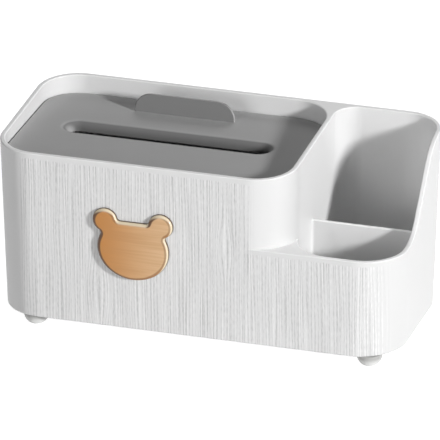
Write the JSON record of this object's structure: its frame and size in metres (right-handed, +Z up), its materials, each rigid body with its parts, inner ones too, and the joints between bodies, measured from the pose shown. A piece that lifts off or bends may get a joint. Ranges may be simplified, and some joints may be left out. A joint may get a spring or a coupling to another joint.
{
  "type": "tissue box with open storage",
  "caption": "Plastic desktop tissue box with a drop-in grey lid, an open two-part storage side and a wooden bear-head badge.",
  "frame": {"origin": "on the surface the box stands on, under the middle of everything it covers in plan, the badge included", "axes": "+X along the width from the tissue side to the storage side, -Y out of the front with the badge, +Z up"},
  "size_m": [0.26, 0.1222, 0.1251],
  "materials": {
    "shell_plastic": "satin white moulded plastic, vertical wood-grain relief on the front",
    "lid_plastic": "matte mid-grey moulded plastic",
    "badge_wood": "light brown wood with a clear gloss coat and a rounded edge",
    "adhesive_foam": "thin double-sided foam",
    "foot_plastic": "smooth white stick-on dome"
  },
  "bodies": {
    "box": {"outer_shell": "shell_plastic", "bear_badge": "badge_wood", "badge_adhesive_pad": "adhesive_foam", "foot_front_left": "foot_plastic", "foot_front_right": "foot_plastic", "foot_back_left": "foot_plastic", "foot_back_right": "foot_plastic", "foot_adhesive_discs": "adhesive_foam"},
    "lid": {"tissue_lid": "lid_plastic", "lift_tab": "lid_plastic"}
  },
  "joints": [
    {"name": "lid_lift", "type": "slide", "parent": "box", "child": "lid", "axis": [0, 0, 1], "range_m": [0, 0.12]}
  ]
}
